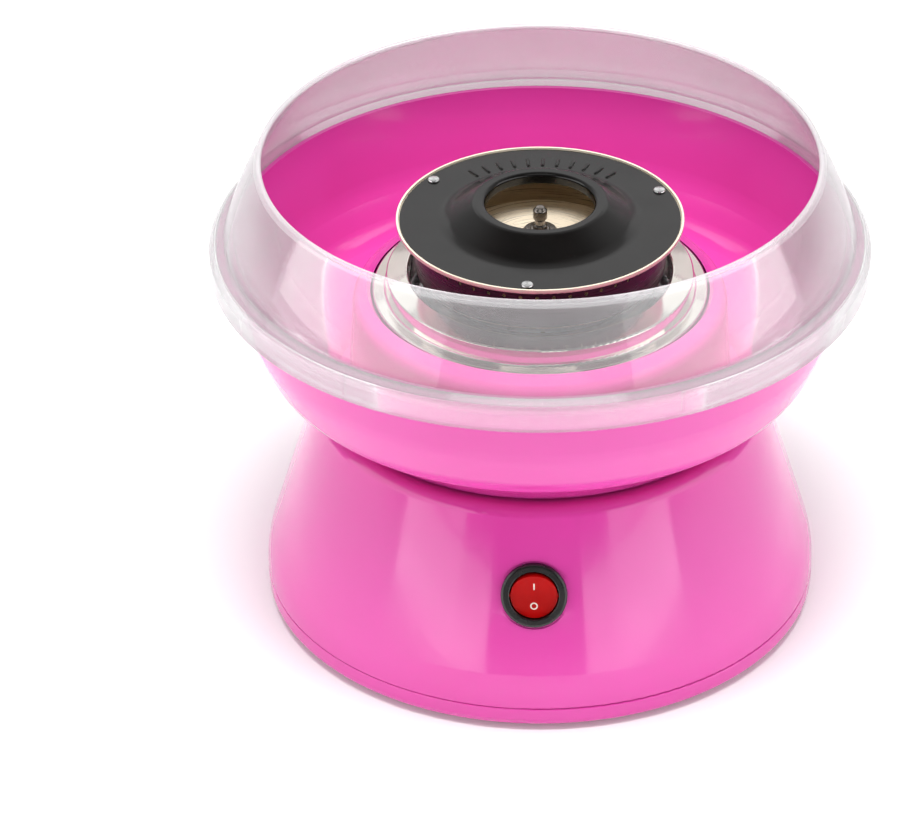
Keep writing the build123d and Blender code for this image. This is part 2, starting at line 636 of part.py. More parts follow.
def heat_shield():
    """Polished ring between the head and the bowl's collar: a sloping plate, a step and a flange."""
    inner_r, outer_r = SHIELD_R
    flange_z, crown_z = SHIELD_Z
    slope_drop, step_run, lip_drop = 2.0, 0.7, 2.2
    top_line = [
        (inner_r, TRAY_FLANGE_TOP), (inner_r, crown_z), (SHIELD_STEP_R, crown_z - slope_drop),
        (SHIELD_STEP_R + step_run, flange_z), (outer_r, flange_z), (outer_r, flange_z - lip_drop),
    ]
    return turned_sheet(top_line, [0.9, 0.9, 0.9, 0.9], SHEET, Side.RIGHT)


# ---------------------------------------------------------------- switch
def blade_blocks(width, thick, z):
    return [block((-width / 2, width / 2), (y - thick / 2, y + thick / 2), z) for y in BLADE_PLACES_Y]


def switch_body():
    """Round snap-in switch body with its bezel."""
    well_r = ROCKER_R + 0.35
    seat = -SPOT_FACE_DEPTH
    well_floor = -9.0
    body = turned(
        (0, SWITCH_BACK), (SWITCH_BODY_R, SWITCH_BACK), (SWITCH_BODY_R, seat), (BEZEL_R, seat),
        (BEZEL_R, BEZEL_TOP), (well_r, BEZEL_TOP), (well_r, well_floor), (0, well_floor),
        rounds={1: 1.0, 4: 1.2, 5: 0.5},
    )
    barb_in = SWITCH_BODY_R - 0.3
    barb_ring = turned((barb_in, -6.5), (SWITCH_BODY_R, -6.5), (SWITCH_BODY_R + 1, -3.6), (barb_in, -3.6))
    body += barb_ring & block((-14, 14), (-3, 3), (-7, -3))
    body -= cross_rod(PIVOT_PIN_R + 0.05, 30, z=PIVOT_Z)
    body -= blade_blocks(*BLADE, (SWITCH_BACK - 2, well_floor + 1))
    return SWITCH_PLANE * body


def switch_terminals():
    return SWITCH_PLANE * Compound(children=blade_blocks(*BLADE, (SWITCH_BACK - 8, -8.2)))


def switch_rocker():
    """Round rocker with a thumb hollow, inside a sphere so that it clears the body as it tips."""
    plate = rod(ROCKER_R - 0.1, -5.5, 3.6) & Sphere(ROCKER_R)
    plate -= cross_rod(ROCKER_HOLLOW_R, 40, z=ROCKER_MIDDLE_Z + ROCKER_HOLLOW_R)
    pins = cross_rod(PIVOT_PIN_R, 2 * SWITCH_BODY_R - 0.4)
    return SWITCH_PLANE * Pos(0, 0, PIVOT_Z) * Rot(ROCKER_REST_DEG, 0, 0) * (plate + pins)


# ---------------------------------------------------------------- wiring
def rectifier_board():
    board = block(BOARD_X, BOARD_Y, (BOARD_Z, BOARD_TOP))
    return board - rods(1.3, BOARD_Z - 1, BOARD_Z + 3, BOARD_SCREW_PLACES)


def board_screws():
    return copies(screw(BOARD_TOP, 2.3, 1.5, 1.1, 7.0), BOARD_SCREW_PLACES)


def rectifier_diodes():
    """Four diodes in a row, each a barrel on two bent leads."""
    lead_r = 0.4
    diode = cross_rod(1.35, 5.2, DIODE_X, DIODE_Z)
    for side in (-1, 1):
        diode += cross_rod(lead_r, 2.4, DIODE_X + side * 3.4, DIODE_Z)
        diode += rod(lead_r, BOARD_TOP, DIODE_Z + lead_r, DIODE_X + side * 4.2)
    return copies(diode, [(0, y) for y in (-8.0, -3.5, 1.0, 5.5)])


def terminal_block():
    body = block((-11, 11), (BLOCK_Y - 6, BLOCK_Y + 6), (FLOOR_TOP, BLOCK_TOP))
    for x in BLOCK_POLES_X:
        body -= rod(2.2, 9.0, BLOCK_TOP + 1, x, BLOCK_Y)
        body -= Pos(x, BLOCK_Y, 8) * Rot(90, 0, 0) * Cylinder(1.6, 14)
    return body


def terminal_screws():
    driver_slot = block((-3, 3), (-0.4, 0.4), (BLOCK_TOP - 2, BLOCK_TOP - 1))
    screw_body = rod(2.1, 10.0, BLOCK_TOP - 1.5) - driver_slot
    return copies(screw_body, [(x, BLOCK_Y) for x in BLOCK_POLES_X])


def thermal_fuse():
    return rod(FUSE_R, *FUSE_Z, *LEG_PLACES[0])


def behind_blade(blade_y):
    """Point just off the end of one switch blade, and a point straight behind it."""
    blade_end = SWITCH_BACK - 8
    tail = (blade_end - 0.2, blade_end - 9)
    return [tuple(SWITCH_PLANE.from_local_coords(Vector(0, blade_y, z))) for z in tail]


def wires():
    """Internal wires by name; each starts and ends on its terminal."""
    lower_end, lower_tail = behind_blade(BLADE_PLACES_Y[0])
    upper_end, upper_tail = behind_blade(BLADE_PLACES_Y[1])
    feed_x, feed_y = LEG_PLACES[0]
    pin_bottom = LEG_BOTTOM - 4.5 - 0.2
    block_y = BLOCK_Y - 6.2
    pad_z = BOARD_TOP + 0.2
    tab_z = TERMINAL_BOTTOM - 0.2
    return {
        "wire_block_to_switch": wire(
            (-5, block_y, 8), (-9, 58, 9), (-26, 50, 10), (-50, 34, 10), (-58, 4, 10), (-50, -28, 12),
            (-26, -50, 22), (-6, -58, 34), lower_tail, lower_end,
        ),
        "wire_switch_to_fuse": wire(
            upper_end, upper_tail, (6, -54, 52), (22, -42, 60), (36, -22, 72), (feed_x, feed_y, 84),
            (feed_x, feed_y, FUSE_Z[0] - 0.2),
        ),
        "wire_fuse_to_heater": wire((feed_x, feed_y, FUSE_Z[1] + 0.2), (feed_x, feed_y, pin_bottom)),
        "wire_heater_to_board": wire(
            (HEATER_R, LEG_Y, pin_bottom), (HEATER_R, LEG_Y, 102), (46, 8, 84), (53, 9, 66), (59, 7, 50),
            (61, 3, 36), (60, 1, 26), (60, 1, pad_z),
        ),
        "wire_block_to_board": wire(
            (5, block_y, 8), (9, 56, 9), (24, 49, 12), (44, 43, 18), (62, 34, 25), (76, 20, 27), (79, 8, 24),
            (79, 5, pad_z),
        ),
        "wire_motor_live": wire(
            (TERMINAL_X, 0, tab_z), (12, -1, 40), (20, -4, 30), (34, -7, 26), (48, -7, 27), (54, -6, 22),
            (54, -6, pad_z),
        ),
        "wire_motor_return": wire(
            (-TERMINAL_X, 0, tab_z), (-12, 3, 40), (-6, 10, 31), (10, 15, 27), (28, 12, 27), (44, 5, 28),
            (53, 1, 22), (54, 0, pad_z),
        ),
    }


# ---------------------------------------------------------------- build
PIECES = [
    base_shell, bottom_cover, rubber_feet, cover_screws, inlet_gland, candy_bowl, splash_ring,
    head_pan, head_lid, head_rivets, head_hub, hub_nut, lift_knob,
    motor_shaft, drive_pin, drive_collar, collar_set_screw, armature_core, armature_windings, commutator,
    motor_can, motor_end_cap, motor_bushes, motor_magnets, motor_brushes, brush_arms, motor_terminals,
    motor_bracket, motor_dampers, bracket_screws, motor_screws,
    heater_tray, heater_element, heater_saddles, tray_screws, heat_shield, thermal_fuse,
    switch_body, switch_terminals, switch_rocker,
    rectifier_board, rectifier_diodes, board_screws, terminal_block, terminal_screws,
]

os.makedirs("parts", exist_ok=True)
for piece in PIECES:
    save(piece.__name__, piece())
for wire_name, wire_shape in wires().items():
    save(wire_name, wire_shape)
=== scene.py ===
import json
import math

import bmesh
import bpy
from mathutils import Matrix, Vector


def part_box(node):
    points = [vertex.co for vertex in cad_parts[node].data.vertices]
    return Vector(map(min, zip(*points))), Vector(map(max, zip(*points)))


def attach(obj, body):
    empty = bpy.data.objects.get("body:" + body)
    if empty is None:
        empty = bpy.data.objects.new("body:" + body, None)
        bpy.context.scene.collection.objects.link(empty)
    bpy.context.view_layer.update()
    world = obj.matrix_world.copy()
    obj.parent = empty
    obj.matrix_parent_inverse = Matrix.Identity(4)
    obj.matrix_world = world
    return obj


# Countertop cotton candy machine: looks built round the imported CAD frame. Metres, +Z up, the
# switch faces -Y. Lengths that end in _MM are millimetres.

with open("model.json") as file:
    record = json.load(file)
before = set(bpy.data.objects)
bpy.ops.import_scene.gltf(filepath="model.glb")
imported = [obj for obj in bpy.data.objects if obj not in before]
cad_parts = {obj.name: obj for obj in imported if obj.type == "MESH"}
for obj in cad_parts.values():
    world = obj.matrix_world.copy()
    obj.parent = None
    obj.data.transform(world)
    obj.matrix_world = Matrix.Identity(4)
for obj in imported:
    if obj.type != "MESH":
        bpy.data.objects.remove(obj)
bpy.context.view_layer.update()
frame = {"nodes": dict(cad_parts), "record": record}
NODES = frame["nodes"]
MM = 0.001


# ------------------------------------------------------------------ sizes the looks are placed by
PAN_MIDDLE_R = 50.0 * MM         # middle of the pan's wall, between its inner and outer face
FLANGE_UNDER_Z = 168.6 * MM
TROUGH_SKIN_Z = 148.6 * MM       # middle of the trough's sheet
PAN_ABOVE_FLAT = 0.6 * MM        # the pan's rolled rim stands this far above the lid's flat ring
DASH_RING = (41.0 * MM, 49.5 * MM)
DASH_COUNT = 11
DASH_FIRST_DEG = 52.0
DASH_LAST_DEG = 128.0
DASH_HALF_LENGTH = 3.6 * MM
DASH_HALF_WIDTH = 0.8 * MM
DASH_HEIGHT = 0.6 * MM
DASH_SINK = 0.02 * MM
CONE_RUN = 22.2 * MM              # the base's cone leans in by this much
CONE_RISE = 72.1 * MM             # over this height
CONE_TILT = math.atan2(CONE_RUN, CONE_RISE)
ROCKER_REST = math.radians(10.0)
ROCKER_MIDDLE_Z = 1.2 * MM
ROCKER_HOLLOW_R = 40.0 * MM
MARK_Y = 4.3 * MM
MARK_HALF_WIDTH = 0.28 * MM
MARK_HEIGHT = 0.12 * MM
MARK_SINK = 0.03 * MM
BAR_HALF_LENGTH = 1.45 * MM
RING_MARK_R = 1.25 * MM
BEAD_BOTTOM_Z = 196.8 * MM        # lower edge of the clear ring's beaded mouth
SKIRT_TOP_Z = 163.4 * MM


# ------------------------------------------------------------------ camera, stage and lights
CAMERA_DISTANCE = 2.0
CAMERA_ELEVATION = math.radians(31.14)
CAMERA_TURN = math.radians(1.35)       # the camera stands a little to the switch's right
CAMERA_LENS = 197.8                    # mm on a 36 mm sensor
CAMERA_TARGET = Vector((0.0, 0.0, 0.122))
CAMERA_SHIFT_X = -0.1008               # the machine stands right of the frame's middle
AIM_UP = -0.03456                      # and a little above it

FLOOR_HALF = 6.0
FLOOR_GLOW = 0.12
SOFTBOX_RADIANCE = 1.8
CARD_RADIANCE = 2.4
FRONT_TOP_RADIANCE = 0.8
FILL_RADIANCE = 19.0
BACK_CARD_RADIANCE = 0.45
WALL_BEHIND = 0.48                     # the world's strength behind the machine
WALL_IN_FRONT = 0.07                   # and where the photographer stands


def make_camera():
    flat = math.cos(CAMERA_ELEVATION)
    rise = math.sin(CAMERA_ELEVATION)
    away = Vector((math.sin(CAMERA_TURN) * flat, -math.cos(CAMERA_TURN) * flat, rise))
    right = Vector((math.cos(CAMERA_TURN), math.sin(CAMERA_TURN), 0.0))
    up = away.cross(right)
    aim = CAMERA_TARGET + up * AIM_UP
    data = bpy.data.cameras.new("camera")
    data.lens = CAMERA_LENS
    data.sensor_width = 36.0
    data.shift_x = CAMERA_SHIFT_X
    camera = bpy.data.objects.new("camera", data)
    bpy.context.scene.collection.objects.link(camera)
    camera.location = CAMERA_TARGET + away * CAMERA_DISTANCE
    camera.rotation_euler = (aim - camera.location).to_track_quat("-Z", "Y").to_euler()
    bpy.context.scene.camera = camera


def area_light(name, place, target, size, radiance, mirrored=True):
    """Softbox of an even brightness, whatever its size; one that is not mirrored only fills."""
    data = bpy.data.lights.new(name, "AREA")
    data.shape = "RECTANGLE"
    data.size = size[0]
    data.size_y = size[1]
    data.energy = radiance * math.pi * size[0] * size[1]
    lamp = bpy.data.objects.new(name, data)
    lamp.visible_glossy = mirrored
    bpy.context.scene.collection.objects.link(lamp)
    lamp.location = place
    lamp.rotation_euler = (Vector(target) - Vector(place)).to_track_quat("-Z", "Y").to_euler()


def make_world():
    """Dim studio with a paler wall behind the machine: most of the light comes from the softboxes."""
    world = bpy.data.worlds.new("studio")
    world.use_nodes = True
    tree = world.node_tree
    background = tree.nodes["Background"]
    place = tree.nodes.new("ShaderNodeTexCoord")
    split = tree.nodes.new("ShaderNodeSeparateXYZ")
    ramp = tree.nodes.new("ShaderNodeMapRange")
    ramp.interpolation_type = "SMOOTHSTEP"
    ramp.inputs["From Min"].default_value = -0.1
    ramp.inputs["From Max"].default_value = 0.5
    ramp.inputs["To Min"].default_value = WALL_IN_FRONT
    ramp.inputs["To Max"].default_value = WALL_BEHIND
    tree.links.new(place.outputs["Generated"], split.inputs[0])
    tree.links.new(split.outputs["Y"], ramp.inputs["Value"])
    tree.links.new(ramp.outputs[0], background.inputs["Strength"])
    background.inputs["Color"].default_value = (1, 1, 1, 1)
    bpy.context.scene.world = world


def make_floor():
    """Wide white floor with a faint glow, so that it stays white round the machine."""
    corners = [(x * FLOOR_HALF, y * FLOOR_HALF, 0) for x, y in ((-1, -1), (1, -1), (1, 1), (-1, 1))]
    mesh = bpy.data.meshes.new("floor")
    mesh.from_pydata(corners, [], [(0, 1, 2, 3)])
    floor = bpy.data.objects.new("floor", mesh)
    bpy.context.scene.collection.objects.link(floor)
    floor_paint, _, shader = new_material("floor_white", (0.80, 0.80, 0.80), 0.7)
    shader.inputs["Emission Color"].default_value = (1, 1, 1, 1)
    shader.inputs["Emission Strength"].default_value = FLOOR_GLOW
    mesh.materials.append(floor_paint)


def make_stage():
    make_floor()
    make_world()
    for name, side in (("left", -1), ("right", 1)):
        area_light(
            "softbox_" + name, (side * 0.95, -0.7, 0.45), (0, -0.7, 0.40), (1.7, 0.8), SOFTBOX_RADIANCE
        )
        area_light("card_" + name, (side * 0.42, -0.52, 0.032), (0, 0, 0.032), (0.5, 0.06), CARD_RADIANCE)
    area_light("front_top", (0, -0.75, 1.15), (0, 0, 0.15), (1.0, 0.5), FRONT_TOP_RADIANCE)
    area_light(
        "overhead_fill", (0, -0.22, 1.4), (0, 0, 0.15), (0.9, 0.6), FILL_RADIANCE, mirrored=False
    )
    area_light("back_card", (0, 1.3, 0.97), (0, 0, 0.17), (2.0, 0.6), BACK_CARD_RADIANCE)
    bpy.context.scene.view_settings.view_transform = "Standard"


# ------------------------------------------------------------------ material tools
def new_material(name, colour, roughness, metallic=0.0, **sockets):
    """Material with one Principled shader; returns it with its node tree and the shader."""
    material = bpy.data.materials.new(name)
    material.use_nodes = True
    tree = material.node_tree
    shader = tree.nodes["Principled BSDF"]
    shader.inputs["Base Color"].default_value = (*colour, 1)
    shader.inputs["Roughness"].default_value = roughness
    shader.inputs["Metallic"].default_value = metallic
    for socket, value in sockets.items():
        shader.inputs[socket.replace("_", " ")].default_value = value
    return material, tree, shader


def object_point(tree, scale=(1, 1, 1)):
    """The point in the object's own metres, which is the frame's place, stretched by scale."""
    place = tree.nodes.new("ShaderNodeTexCoord")
    mapping = tree.nodes.new("ShaderNodeMapping")
    mapping.inputs["Scale"].default_value = scale
    tree.links.new(place.outputs["Object"], mapping.inputs["Vector"])
    return mapping.outputs["Vector"]


def turned_point(tree, along=1.0, up=1.0, round_by=0.0):
    """(radius, angle, height) of the point about +Z, for marks that run round a turned piece."""
    place = tree.nodes.new("ShaderNodeTexCoord")
    split = tree.nodes.new("ShaderNodeSeparateXYZ")
    tree.links.new(place.outputs["Object"], split.inputs[0])
    x, y, z = (split.outputs[axis] for axis in "XYZ")
    radius = math_node(tree, "POWER", math_node(
        tree, "ADD", math_node(tree, "MULTIPLY", x, x), math_node(tree, "MULTIPLY", y, y)), 0.5)
    angle = math_node(tree, "ARCTAN2", y, x)
    join = tree.nodes.new("ShaderNodeCombineXYZ")
    for value, factor, socket in ((radius, along, "X"), (angle, round_by, "Y"), (z, up, "Z")):
        tree.links.new(math_node(tree, "MULTIPLY", value, factor), join.inputs[socket])
    return join.outputs[0]


def math_node(tree, operation, a, b):
    node = tree.nodes.new("ShaderNodeMath")
    node.operation = operation
    for i, value in enumerate((a, b)):
        if isinstance(value, (int, float)):
            node.inputs[i].default_value = value
        else:
            tree.links.new(value, node.inputs[i])
    return node.outputs[0]


def step(tree, value, limit, falling=False):
    """1 where value is past the limit (or short of it, when falling), else 0."""
    return math_node(tree, "LESS_THAN" if falling else "GREATER_THAN", value, limit)


def mix_colour(tree, factor, first, second):
    node = tree.nodes.new("ShaderNodeMix")
    node.data_type = "RGBA"
    tree.links.new(factor, node.inputs["Factor"])
    tree.links.new(first, node.inputs["A"])
    tree.links.new(second, node.inputs["B"])
    return node.outputs["Result"]


def noise(tree, vector, scale, detail=2.0, rough=0.5):
    node = tree.nodes.new("ShaderNodeTexNoise")
    node.inputs["Scale"].default_value = scale
    node.inputs["Detail"].default_value = detail
    node.inputs["Roughness"].default_value = rough
    tree.links.new(vector, node.inputs["Vector"])
    return node.outputs["Fac"]


def spread(tree, value, low, high, start=0.3, stop=0.7):
    """Map a noise's middle range to low..high."""
    node = tree.nodes.new("ShaderNodeMapRange")
    for socket, number in (("From Min", start), ("From Max", stop), ("To Min", low), ("To Max", high)):
        node.inputs[socket].default_value = number
    tree.links.new(value, node.inputs["Value"])
    return node.outputs[0]


def between(tree, value, low, high, start=0.3, stop=0.7):
    """Colour that goes from low to high as value goes through its middle range."""
    ramp = tree.nodes.new("ShaderNodeValToRGB")
    ramp.color_ramp.elements[0].position = start
    ramp.color_ramp.elements[1].position = stop
    ramp.color_ramp.elements[0].color = (*low, 1)
    ramp.color_ramp.elements[1].color = (*high, 1)
    tree.links.new(value, ramp.inputs["Fac"])
    return ramp.outputs["Color"]


def bump(tree, shader, height, strength, distance):
    node = tree.nodes.new("ShaderNodeBump")
    node.inputs["Strength"].default_value = strength
    node.inputs["Distance"].default_value = distance
    tree.links.new(height, node.inputs["Height"])
    existing = shader.inputs["Normal"].links
    if existing:
        tree.links.new(existing[0].from_socket, node.inputs["Normal"])
    tree.links.new(node.outputs["Normal"], shader.inputs["Normal"])


# ------------------------------------------------------------------ materials
PINK = (0.66, 0.055, 0.36)
PINK_DEEP = (0.63, 0.048, 0.325)


def moulded_pink(name, low, high):
    """Glossy injection-moulded plastic: faint flow marks, orange peel and hairline scratches."""
    material, tree, shader = new_material(name, high, 0.12, Coat_Weight=0.25, Coat_Roughness=0.04)
    point = object_point(tree)
    flow = noise(tree, point, 9.0, 3.0)
    tree.links.new(between(tree, flow, low, high), shader.inputs["Base Color"])
    tree.links.new(spread(tree, noise(tree, point, 55.0, 5.0), 0.09, 0.17), shader.inputs["Roughness"])
    bump(tree, shader, noise(tree, point, 260.0, 2.0), 0.02, 0.0004)
    scratches = noise(tree, turned_point(tree, 900.0, 900.0, 3.0), 1.0, 2.0)
    bump(tree, shader, scratches, 0.012, 0.0002)
    return material


def clear_plastic(name):
    """Clear, slightly milky plastic, drawn as a thin wall: haze, and reflections that grow at the edges."""
    material, tree, milk = new_material(name, (0.96, 0.96, 0.97), 0.3)
    point = object_point(tree)
    facing = tree.nodes.new("ShaderNodeLayerWeight")
    facing.inputs["Blend"].default_value = 0.35
    where = tree.nodes.new("ShaderNodeSeparateXYZ")
    tree.links.new(turned_point(tree), where.inputs[0])
    bead = step(tree, where.outputs["Z"], BEAD_BOTTOM_Z)
    skirt = step(tree, where.outputs["Z"], SKIRT_TOP_Z, falling=True)
    uneven = spread(tree, noise(tree, point, 14.0, 3.0), 0.11, 0.16)
    edge = math_node(tree, "MULTIPLY", math_node(tree, "POWER", facing.outputs["Facing"], 2.5), 0.5)
    at_bead = math_node(tree, "MULTIPLY", bead, 0.12)
    at_skirt = math_node(tree, "MULTIPLY", skirt, 0.04)
    thicker = math_node(tree, "ADD", at_bead, at_skirt)
    haze_sum = math_node(tree, "ADD", math_node(tree, "ADD", uneven, edge), thicker)
    amount = math_node(tree, "MINIMUM", haze_sum, 0.9)
    through = tree.nodes.new("ShaderNodeBsdfTransparent")
    haze = tree.nodes.new("ShaderNodeMixShader")
    tree.links.new(amount, haze.inputs["Fac"])
    tree.links.new(through.outputs[0], haze.inputs[1])
    tree.links.new(milk.outputs[0], haze.inputs[2])
    gloss = tree.nodes.new("ShaderNodeBsdfGlossy")
    gloss.inputs["Roughness"].default_value = 0.06
    bump(tree, gloss, noise(tree, point, 120.0, 2.0), 0.03, 0.0004)
    bump(tree, milk, noise(tree, point, 120.0, 2.0), 0.05, 0.0004)
    shine = tree.nodes.new("ShaderNodeFresnel")
    shine.inputs["IOR"].default_value = 1.46
    wall = tree.nodes.new("ShaderNodeMixShader")
    tree.links.new(math_node(tree, "MULTIPLY", shine.outputs[0], 0.75), wall.inputs["Fac"])
    tree.links.new(haze.outputs[0], wall.inputs[1])
    tree.links.new(gloss.outputs[0], wall.inputs[2])
    tree.links.new(wall.outputs[0], tree.nodes["Material Output"].inputs["Surface"])
    return material


def black_coating(name):
    """Glossy black heat-resistant coating with a fine grain; the underside is left bare steel."""
    material, tree, shader = new_material(name, (0.012, 0.010, 0.010), 0.24, Specular_IOR_Level=0.52)
    point = object_point(tree)
    patches = noise(tree, point, 30.0, 4.0)
    shade = between(tree, patches, (0.0015, 0.0013, 0.0012), (0.0035, 0.0028, 0.0026))
    place = tree.nodes.new("ShaderNodeTexCoord")
    facing = tree.nodes.new("ShaderNodeSeparateXYZ")
    tree.links.new(place.outputs["Normal"], facing.inputs[0])
    under = step(tree, facing.outputs["Z"], -0.3, falling=True)
    steel = between(tree, patches, (0.70, 0.61, 0.48), (0.84, 0.76, 0.62))
    tree.links.new(mix_colour(tree, under, shade, steel), shader.inputs["Base Color"])
    tree.links.new(math_node(tree, "MULTIPLY", under, 0.4), shader.inputs["Metallic"])
    tree.links.new(spread(tree, noise(tree, point, 90.0, 5.0), 0.16, 0.23), shader.inputs["Roughness"])
    bump(tree, shader, noise(tree, point, 900.0, 2.0), 0.05, 0.0002)
    return material


def spun_steel(name, dark, light, rough_low, rough_high, marks=2600.0):
    """Spun or turned steel: fine rings round the axis, and a little tarnish in soft patches."""
    material, tree, shader = new_material(name, light, rough_low, 1.0)
    rings = noise(tree, turned_point(tree, marks, marks, 1.5), 1.0, 2.0)
    tarnish = noise(tree, object_point(tree), 22.0, 4.0)
    tree.links.new(between(tree, tarnish, dark, light), shader.inputs["Base Color"])
    tree.links.new(spread(tree, rings, rough_low, rough_high), shader.inputs["Roughness"])
    bump(tree, shader, rings, 0.08, 0.0002)
    return material


def plated_steel(name, dark, light, rough_low=0.22, rough_high=0.42):
    """Zinc-plated or pressed steel with crystal-like patches."""
    material, tree, shader = new_material(name, light, rough_low, 1.0)
    point = object_point(tree)
    tree.links.new(between(tree, noise(tree, point, 180.0, 3.0), dark, light), shader.inputs["Base Color"])
    gloss = spread(tree, noise(tree, point, 320.0, 4.0), rough_low, rough_high)
    tree.links.new(gloss, shader.inputs["Roughness"])
    bump(tree, shader, noise(tree, point, 800.0, 2.0), 0.06, 0.0002)
    return material


def dull_solid(name, dark, light, rough_low, rough_high, grain=600.0, grain_depth=0.15, **sockets):
    """Rubber, nylon, ceramic, carbon or lacquer: two close shades, uneven gloss and a fine grain."""
    material, tree, shader = new_material(name, light, rough_low, 0.0, **sockets)
    point = object_point(tree)
    tree.links.new(between(tree, noise(tree, point, 70.0, 3.0), dark, light), shader.inputs["Base Color"])
    gloss = spread(tree, noise(tree, point, 150.0, 4.0), rough_low, rough_high)
    tree.links.new(gloss, shader.inputs["Roughness"])
    bump(tree, shader, noise(tree, point, grain, 2.0), grain_depth, 0.0002)
    return material


def wound_copper(name):
    """Enamelled wire, laid in turns."""
    material, tree, shader = new_material(name, (0.6, 0.22, 0.1), 0.3, 1.0)
    turns = tree.nodes.new("ShaderNodeTexWave")
    turns.bands_direction = "Z"
    turns.inputs["Scale"].default_value = 420.0
    turns.inputs["Distortion"].default_value = 1.5
    tree.links.new(object_point(tree), turns.inputs["Vector"])
    shade = between(tree, turns.outputs["Fac"], (0.32, 0.09, 0.04), (0.66, 0.25, 0.12))
    tree.links.new(shade, shader.inputs["Base Color"])
    bump(tree, shader, turns.outputs["Fac"], 0.5, 0.0003)
    return material


def laminated_iron(name):
    """Stack of thin punched sheets."""
    material, tree, shader = new_material(name, (0.2, 0.2, 0.21), 0.4, 1.0)
    sheets = tree.nodes.new("ShaderNodeTexWave")
    sheets.bands_direction = "Z"
    sheets.inputs["Scale"].default_value = 300.0
    tree.links.new(object_point(tree), sheets.inputs["Vector"])
    shade = between(tree, sheets.outputs["Fac"], (0.08, 0.08, 0.085), (0.28, 0.28, 0.3))
    tree.links.new(shade, shader.inputs["Base Color"])
    bump(tree, shader, sheets.outputs["Fac"], 0.5, 0.0002)
    return material


def circuit_board(name):
    """Green solder mask with lighter copper tracks under it."""
    material, tree, shader = new_material(name, (0.02, 0.12, 0.04), 0.28)
    tracks = tree.nodes.new("ShaderNodeTexBrick")
    tracks.inputs["Scale"].default_value = 260.0
    tracks.inputs["Mortar Size"].default_value = 0.03
    tracks.inputs["Color1"].default_value = (0.02, 0.12, 0.04, 1)
    tracks.inputs["Color2"].default_value = (0.025, 0.14, 0.05, 1)
    tracks.inputs["Mortar"].default_value = (0.05, 0.26, 0.1, 1)
    tree.links.new(object_point(tree), tracks.inputs["Vector"])
    tree.links.new(tracks.outputs["Color"], shader.inputs["Base Color"])
    bump(tree, shader, tracks.outputs["Fac"], 0.2, 0.0002)
    return material


def head_steel(name):
    """Pan of the head: bare spun steel inside, black outside its wall below the flange, and beneath."""
    material, tree, shader = new_material(name, (0.56, 0.50, 0.42), 0.3, 1.0)
    where = tree.nodes.new("ShaderNodeSeparateXYZ")
    tree.links.new(turned_point(tree), where.inputs[0])
    outside = step(tree, where.outputs["X"], PAN_MIDDLE_R)
    below_flange = step(tree, where.outputs["Z"], FLANGE_UNDER_Z, falling=True)
    beneath = step(tree, where.outputs["Z"], TROUGH_SKIN_Z, falling=True)
    black = math_node(tree, "MAXIMUM", math_node(tree, "MULTIPLY", outside, below_flange), beneath)
    marks = noise(tree, turned_point(tree, 2200.0, 2200.0, 1.5), 1.0, 2.0)
    tarnish = noise(tree, object_point(tree), 26.0, 4.0)
    bare = between(tree, tarnish, (0.74, 0.64, 0.50), (0.88, 0.79, 0.64))
    # colour for the black outside of the wall below the flange and beneath the trough
    black_tone = between(tree, tarnish, (0.012, 0.010, 0.010), (0.03, 0.024, 0.022))
    tree.links.new(mix_colour(tree, black, bare, black_tone), shader.inputs["Base Color"])
    bare_metal = math_node(tree, "MULTIPLY", math_node(tree, "SUBTRACT", 1.0, black), 0.35)
    tree.links.new(bare_metal, shader.inputs["Metallic"])
    tree.links.new(spread(tree, marks, 0.22, 0.40), shader.inputs["Roughness"])
    bump(tree, shader, marks, 0.06, 0.0002)
    return material


def red_plastic(name):
    """Unlit red moulding: deep and glossy."""
    material, tree, shader = new_material(
        name, (0.40, 0.002, 0.002), 0.12, Specular_IOR_Level=0.08, Subsurface_Weight=0.1
    )
    shader.inputs["Subsurface Radius"].default_value = (0.003, 0.0006, 0.0006)
    shader.inputs["Subsurface Scale"].default_value = 1.0
    point = object_point(tree)
    shade = between(tree, noise(tree, point, 120.0, 3.0), (0.34, 0.002, 0.002), (0.42, 0.003, 0.003))
    tree.links.new(shade, shader.inputs["Base Color"])
    tree.links.new(spread(tree, noise(tree, point, 300.0, 4.0), 0.10, 0.20), shader.inputs["Roughness"])
    bump(tree, shader, noise(tree, point, 1500.0, 2.0), 0.04, 0.0001)
    return material


